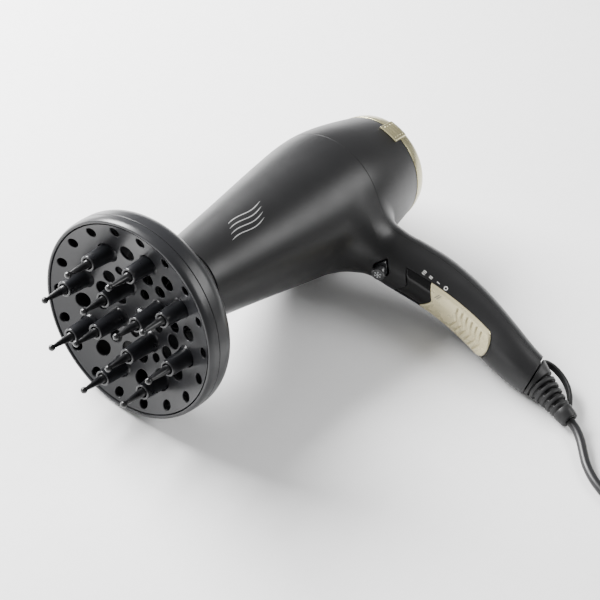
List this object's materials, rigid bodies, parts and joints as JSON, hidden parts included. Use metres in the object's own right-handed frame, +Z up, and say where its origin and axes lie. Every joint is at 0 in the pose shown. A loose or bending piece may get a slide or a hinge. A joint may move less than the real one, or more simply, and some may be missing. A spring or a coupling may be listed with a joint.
{
  "type": "hair dryer",
  "caption": "Black hand-held hair dryer lying on its side with a pronged round diffuser fitted, thumb slider, cool button, gold rear filter cover and mains cord.",
  "frame": {"origin": "centre of the bounding box of the dryer without its cord, on the surface it lies on", "axes": "+Z up from the surface; +X along the barrel from the diffuser towards the rear cover, in plan; +Y from the grip towards the top of the barrel"},
  "size_m": [0.3514, 0.4093, 0.1326],
  "materials": {
    "shell_black": "soft-touch satin",
    "trim_gold": "champagne gold metallic, satin",
    "slider_cream": "pale champagne pearl",
    "gloss_black": "piano black",
    "button_black": "satin gloss",
    "inner_black": "fine texture",
    "diffuser_charcoal": "satin",
    "pin_gloss": "gloss",
    "soft_rubber": "satin",
    "cord_rubber": "satin PVC",
    "plug_black": "fine texture",
    "steel": "brushed",
    "brass": "bright",
    "mica": "flaky mica sheet",
    "heating_wire": "oxidised",
    "fan_red": "satin",
    "switch_plastic": "satin",
    "board_green": "solder mask",
    "capacitor_film": "film box",
    "lead_brown": "satin",
    "lead_blue": "satin",
    "lead_red": "satin"
  },
  "bodies": {
    "housing": {"front_casing": "shell_black", "rear_casing": "shell_black", "casing_screw_upper": "steel", "casing_screw_lower": "steel", "motor_mount_duct": "inner_black", "motor": "steel", "heat_shield": "mica", "heater_cross": "mica", "heater_coil": "heating_wire", "thermal_cutout": "brass", "thermal_fuse": "steel", "outlet_collar": "inner_black", "outlet_guard": "inner_black", "slider_track": "gloss_black", "speed_switch": "switch_plastic", "circuit_board": "board_green", "capacitor": "capacitor_film", "button_spring": "steel", "micro_switch": "switch_plastic", "strain_relief": "soft_rubber", "hang_loop": "soft_rubber", "cord_clamp": "inner_black", "lead_live": "lead_brown", "lead_neutral": "lead_blue", "heater_lead": "lead_red", "cord": "cord_rubber", "cord_coil": "cord_rubber", "cord_tail": "cord_rubber", "plug_body": "plug_black", "plug_pin_left": "brass", "plug_pin_right": "brass"},
    "rotor": {"motor_shaft": "steel", "fan": "fan_red"},
    "rear_cover": {"rear_cover_ring": "trim_gold", "rear_grille": "inner_black", "lint_filter": "steel"},
    "diffuser_fitting": {"diffuser_sleeve": "inner_black"},
    "diffuser_head": {"diffuser_bell": "diffuser_charcoal", "diffuser_bezel": "diffuser_charcoal", "diffuser_plate": "diffuser_charcoal", "diffuser_screw": "steel", "finger_pin_01": "pin_gloss", "finger_pin_02": "pin_gloss", "finger_pin_03": "pin_gloss", "finger_pin_04": "pin_gloss", "finger_pin_05": "pin_gloss", "finger_pin_06": "pin_gloss", "finger_pin_07": "pin_gloss", "finger_pin_08": "pin_gloss", "finger_pin_09": "pin_gloss", "finger_pin_10": "pin_gloss", "finger_pin_11": "pin_gloss", "finger_pin_12": "pin_gloss"},
    "speed_control": {"speed_slider": "slider_cream", "slider_carrier": "inner_black"},
    "cool_shot": {"cool_shot_button": "button_black"}
  },
  "joints": [
    {"name": "fan_spin", "type": "hinge", "parent": "housing", "child": "rotor", "pos_m": [0.08163, 0.07613, 0.04725], "axis": [0.9949, 0, -0.101], "continuous": true},
    {"name": "rear_cover_pull", "type": "slide", "parent": "housing", "child": "rear_cover", "axis": [0.9949, 0, -0.101], "range_m": [0, 0.025]},
    {"name": "diffuser_pull", "type": "slide", "parent": "housing", "child": "diffuser_fitting", "axis": [-0.9949, 0, 0.101], "range_m": [0, 0.022]},
    {"name": "diffuser_turn", "type": "hinge", "parent": "diffuser_fitting", "child": "diffuser_head", "pos_m": [0.08163, 0.07613, 0.04725], "axis": [0.9949, 0, -0.101], "continuous": true},
    {"name": "speed_slide", "type": "hinge", "parent": "housing", "child": "speed_control", "pos_m": [-0.06654, -0.04268, 0.03923], "axis": [0.0991, -0.1896, 0.9768], "range_deg": [0, 7.36]},
    {"name": "cool_shot_press", "type": "slide", "parent": "housing", "child": "cool_shot", "axis": [0.9605, 0.2749, -0.0441], "range_m": [0, 0.0025], "stiffness_N_per_m": 400, "springref_m": -0.003}
  ]
}
